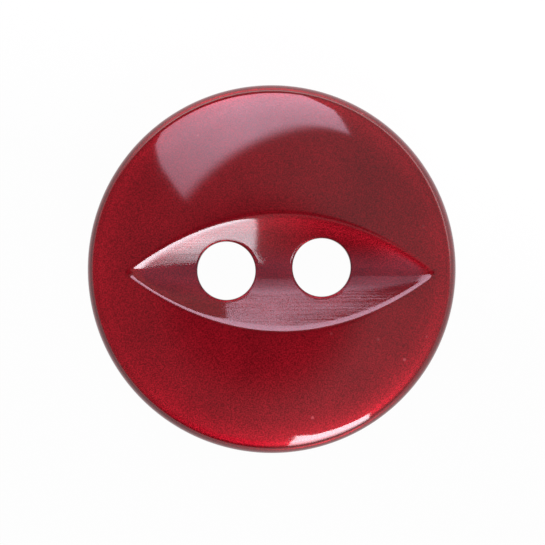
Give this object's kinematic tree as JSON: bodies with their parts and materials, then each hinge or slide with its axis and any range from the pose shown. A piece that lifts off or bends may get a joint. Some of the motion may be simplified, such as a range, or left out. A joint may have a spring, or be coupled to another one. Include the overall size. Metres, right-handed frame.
{
  "type": "fish-eye button",
  "caption": "Round domed sew-through button with a long pointed recess milled across its face and thread holes drilled through the recess.",
  "frame": {"origin": "middle of the flat back, on the surface that the button lies on", "axes": "+Z out of the face, +X along the eye-shaped recess, +Y across it"},
  "size_m": [0.0114, 0.0114, 0.0023],
  "materials": {
    "pearl_polyester": "polished deep-red pearl"
  },
  "bodies": {
    "root": {"button": "pearl_polyester"}
  },
  "joints": []
}
